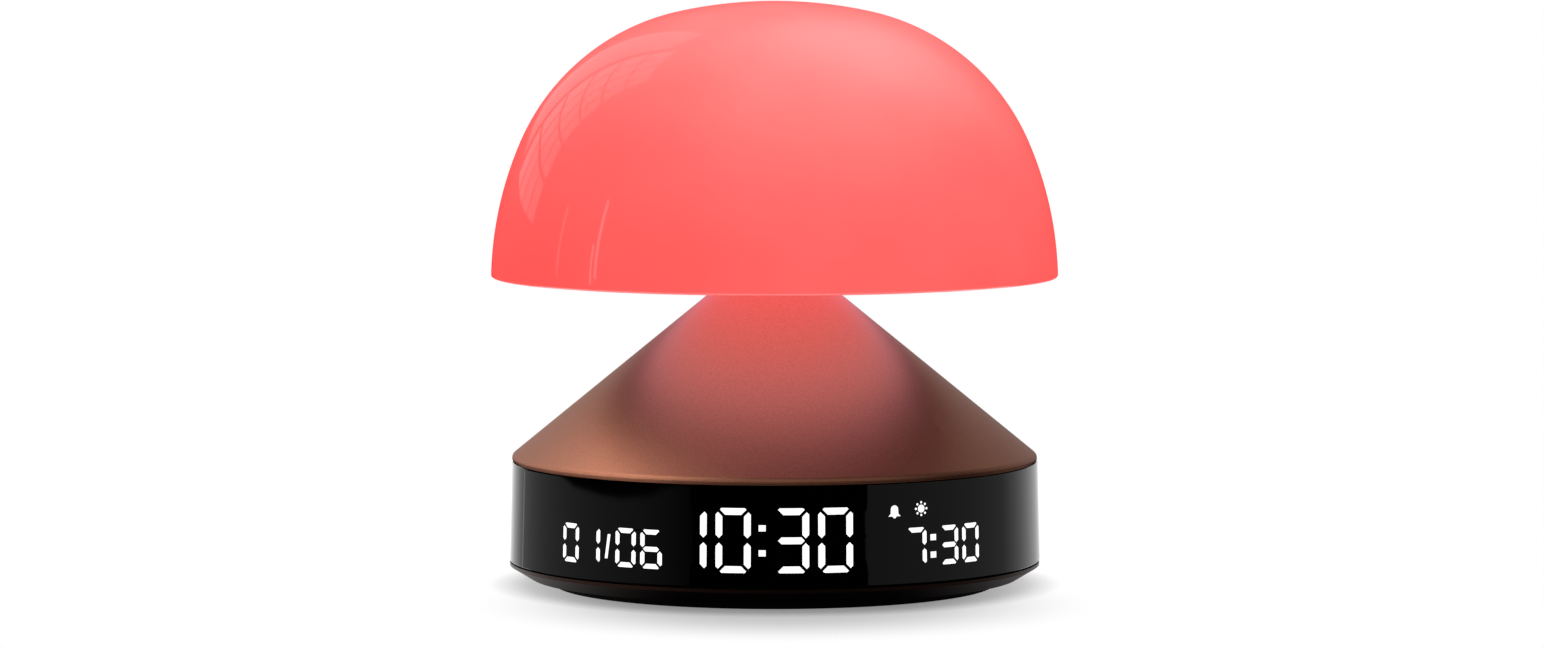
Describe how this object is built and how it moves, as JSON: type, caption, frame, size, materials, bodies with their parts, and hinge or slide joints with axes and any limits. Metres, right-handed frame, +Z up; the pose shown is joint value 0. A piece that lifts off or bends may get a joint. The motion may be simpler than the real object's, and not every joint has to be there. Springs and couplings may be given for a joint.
{
  "type": "sunrise alarm clock",
  "caption": "Sunrise alarm clock: a translucent dome lamp that presses down, above a metal cone and a round base with a wrap-round digital display, rear keys and a speaker.",
  "frame": {"origin": "the middle of the foot ring, on the surface that the clock stands on", "axes": "+Z up through the dome, -Y to the front with the time display, +X to the right as seen from the front"},
  "size_m": [0.134, 0.134, 0.138],
  "materials": {
    "coral_shade": "translucent coral polycarbonate, moulded gloss, lit from inside",
    "frosted_floor": "frosted diffusing polycarbonate",
    "white_abs": "moulded white ABS",
    "zinc_steel": "zinc-plated steel",
    "lamp_aluminium": "white-masked aluminium board",
    "lamp_white": "lamp packages",
    "black_abs": "moulded black ABS",
    "bronze_cone": "satin bronze lacquer on spun aluminium",
    "acetal": "natural acetal",
    "spring_steel": "drawn spring wire",
    "board_green": "green solder mask on glass laminate",
    "gloss_black": "piano-black polycarbonate, mirror polished",
    "lit_white": "lit white figures",
    "flex_amber": "polyimide flexible circuit",
    "bronze_cover": "satin dark bronze lacquer on ABS",
    "foot_rubber": "matte black rubber",
    "black_screws": "blackened steel",
    "speaker_paper": "black pressed paper",
    "port_steel": "nickel-plated steel",
    "battery_wrap": "laminated foil pouch",
    "cable_black": "PVC insulated wire",
    "key_black": "black ABS key, satin"
  },
  "bodies": {
    "base": {"cone_body": "bronze_cone", "guide_bush": "acetal", "return_spring": "spring_steel", "switch_tower": "white_abs", "press_board": "board_green", "press_switch": "black_abs", "display_band": "gloss_black", "date_figures": "lit_white", "time_figures": "lit_white", "alarm_figures": "lit_white", "display_icons": "lit_white", "display_film": "frosted_floor", "display_frame": "white_abs", "display_flex": "flex_amber", "display_lamps": "lamp_white", "chassis": "black_abs", "bottom_cover": "bronze_cover", "foot_ring": "foot_rubber", "cover_screws": "black_screws", "cone_screws": "zinc_steel", "small_screws": "zinc_steel", "speaker_gasket": "foot_rubber", "speaker_basket": "zinc_steel", "speaker_paper": "speaker_paper", "speaker_magnet": "zinc_steel", "main_board": "board_green", "board_chips": "black_abs", "board_sockets": "acetal", "usb_port": "port_steel", "key_board": "board_green", "key_switches": "black_abs", "battery": "battery_wrap", "battery_tape": "acetal", "lamp_cable": "cable_black", "battery_leads": "cable_black", "speaker_leads": "cable_black"},
    "head": {"shade_dome": "coral_shade", "shade_floor": "frosted_floor", "shade_hub": "white_abs", "head_screws": "zinc_steel", "lamp_board": "lamp_aluminium", "lamps": "lamp_white", "stem_collar": "white_abs", "collar_screws": "zinc_steel", "press_plunger": "black_abs"},
    "light_key": {"light_key": "key_black", "light_key_plunger": "acetal"},
    "down_key": {"down_key": "key_black", "down_key_plunger": "acetal"},
    "set_key": {"set_key": "key_black", "set_key_plunger": "acetal"},
    "up_key": {"up_key": "key_black", "up_key_plunger": "acetal"},
    "alarm_key": {"alarm_key": "key_black", "alarm_key_plunger": "acetal"}
  },
  "joints": [
    {"name": "head_press", "type": "slide", "parent": "base", "child": "head", "axis": [0, 0, -1], "range_m": [0, 0.001], "stiffness_N_per_m": 600, "springref_m": -0.0045, "deforming": ["return_spring", "lamp_cable"]},
    {"name": "light_key_press", "type": "slide", "parent": "base", "child": "light_key", "axis": [0, -1, 0], "range_m": [0, 0.0005], "stiffness_N_per_m": 800, "springref_m": -0.001},
    {"name": "down_key_press", "type": "slide", "parent": "base", "child": "down_key", "axis": [0, -1, 0], "range_m": [0, 0.0005], "stiffness_N_per_m": 800, "springref_m": -0.001},
    {"name": "set_key_press", "type": "slide", "parent": "base", "child": "set_key", "axis": [0, -1, 0], "range_m": [0, 0.0005], "stiffness_N_per_m": 800, "springref_m": -0.001},
    {"name": "up_key_press", "type": "slide", "parent": "base", "child": "up_key", "axis": [0, -1, 0], "range_m": [0, 0.0005], "stiffness_N_per_m": 800, "springref_m": -0.001},
    {"name": "alarm_key_press", "type": "slide", "parent": "base", "child": "alarm_key", "axis": [0, -1, 0], "range_m": [0, 0.0005], "stiffness_N_per_m": 800, "springref_m": -0.001}
  ]
}
